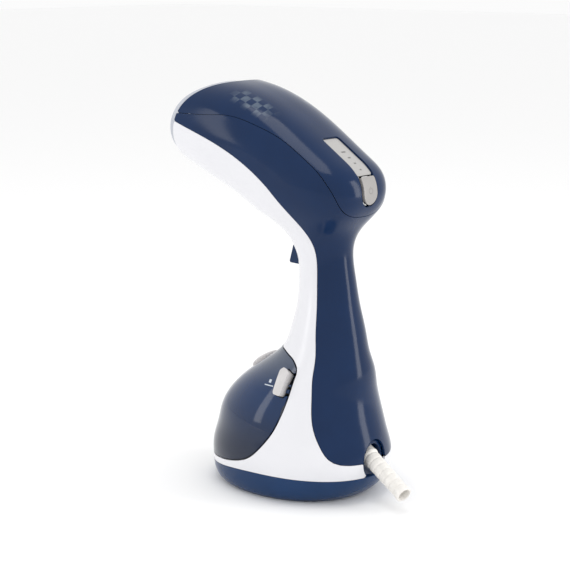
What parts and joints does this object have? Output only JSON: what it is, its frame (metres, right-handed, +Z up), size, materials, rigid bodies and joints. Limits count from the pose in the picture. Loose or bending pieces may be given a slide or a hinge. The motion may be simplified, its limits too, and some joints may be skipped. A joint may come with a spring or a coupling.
{
  "type": "handheld garment steamer",
  "caption": "Handheld garment steamer that stands on its base: angled steam head, waisted handle with trigger, clip-off water tank, control panel and cord outlet.",
  "frame": {"origin": "centre of the base on the surface that the steamer stands on", "axes": "+Z up, -Y towards the front (steam plate, trigger, tank), +Y towards the back (panel, cord outlet), +X to the left of someone who holds it"},
  "size_m": [0.115, 0.2029, 0.3069],
  "materials": {
    "white_shell": "gloss",
    "navy_shell": "gloss",
    "base_blue": "gloss",
    "navy_trim": "satin",
    "rim_grey": "satin",
    "tank_tint": "tinted clear",
    "silver_panel": "satin",
    "chrome": "polished",
    "latch_grey": "satin",
    "dark_seal": "matt",
    "rubber": "matt",
    "silicone": "matt",
    "steel": "zinc plated",
    "spring_steel": "bright",
    "dark_plastic": "matt",
    "inner_white": "matt",
    "winding": "enamelled copper",
    "wire": "sleeved",
    "circuit_board": "satin",
    "clear_light": "clear",
    "cast_aluminium": "as cast",
    "steam_plate": "satin",
    "boot_white": "matt"
  },
  "bodies": {
    "housing": {"front_shell": "white_shell", "plate_rim": "rim_grey", "rear_shell": "navy_shell", "top_cover": "navy_shell", "base_cover": "base_blue", "cord_socket": "navy_shell", "rubber_sole": "rubber", "base_screws": "steel", "control_panel": "silver_panel", "button_ring": "chrome", "light_guides": "clear_light", "control_board": "circuit_board", "button_board": "circuit_board", "tact_switch": "dark_plastic", "button_spring": "spring_steel", "trigger_pin": "steel", "microswitch": "dark_plastic", "trigger_spring": "spring_steel", "tank_seal": "dark_seal", "docking_port": "inner_white", "docking_seal": "silicone", "pump_body": "inner_white", "pump_coil": "winding", "pump_bracket": "steel", "pump_mounts": "rubber", "inlet_hose": "silicone", "pump_hose": "silicone", "check_valve": "inner_white", "boiler_hose": "silicone", "wire_loom": "wire", "terminal_block": "inner_white", "steam_plate": "steam_plate", "boiler": "cast_aluminium", "heater_element": "steel", "boiler_gasket": "silicone", "boiler_cover": "cast_aluminium", "boiler_screws": "steel", "thermostat": "dark_plastic", "thermal_fuse": "inner_white", "cord_boot": "boot_white", "cord_clamp": "inner_white", "clamp_screws": "steel"},
    "tank": {"water_tank": "tank_tint", "latch_left_spring": "spring_steel", "latch_right_spring": "spring_steel", "tank_valve_spring": "spring_steel", "suction_hose": "silicone", "suction_filter": "inner_white"},
    "cap": {"fill_cap": "latch_grey", "fill_cap_seal": "silicone"},
    "latch_left": {"latch_left": "latch_grey"},
    "latch_right": {"latch_right": "latch_grey"},
    "valve": {"tank_valve": "dark_plastic"},
    "button": {"power_button": "silver_panel"},
    "trigger": {"trigger": "navy_trim"}
  },
  "joints": [
    {"name": "tank_slide", "type": "slide", "parent": "housing", "child": "tank", "axis": [0, -1, 0], "range_m": [0, 0.12]},
    {"name": "cap_lift", "type": "slide", "parent": "tank", "child": "cap", "axis": [0, -0.5736, 0.8192], "range_m": [0, 0.03]},
    {"name": "latch_left_press", "type": "slide", "parent": "tank", "child": "latch_left", "axis": [-1, 0, 0], "range_m": [0, 0.0025], "stiffness_N_per_m": 800, "springref_m": -0.001},
    {"name": "latch_right_press", "type": "slide", "parent": "tank", "child": "latch_right", "axis": [1, 0, 0], "range_m": [0, 0.0025], "stiffness_N_per_m": 800, "springref_m": -0.001},
    {"name": "valve_open", "type": "slide", "parent": "tank", "child": "valve", "axis": [0, -1, 0], "range_m": [0, 0.002], "stiffness_N_per_m": 150, "springref_m": -0.001},
    {"name": "button_press", "type": "slide", "parent": "housing", "child": "button", "axis": [0, -0.9903, -0.1392], "range_m": [0, 0.0012], "stiffness_N_per_m": 1000, "springref_m": -0.001},
    {"name": "trigger_pull", "type": "hinge", "parent": "housing", "child": "trigger", "pos_m": [0, 0.0105, 0.189], "axis": [1, 0, 0], "range_deg": [0, 8], "stiffness_Nm_per_rad": 0.5, "springref_deg": -5.73}
  ]
}
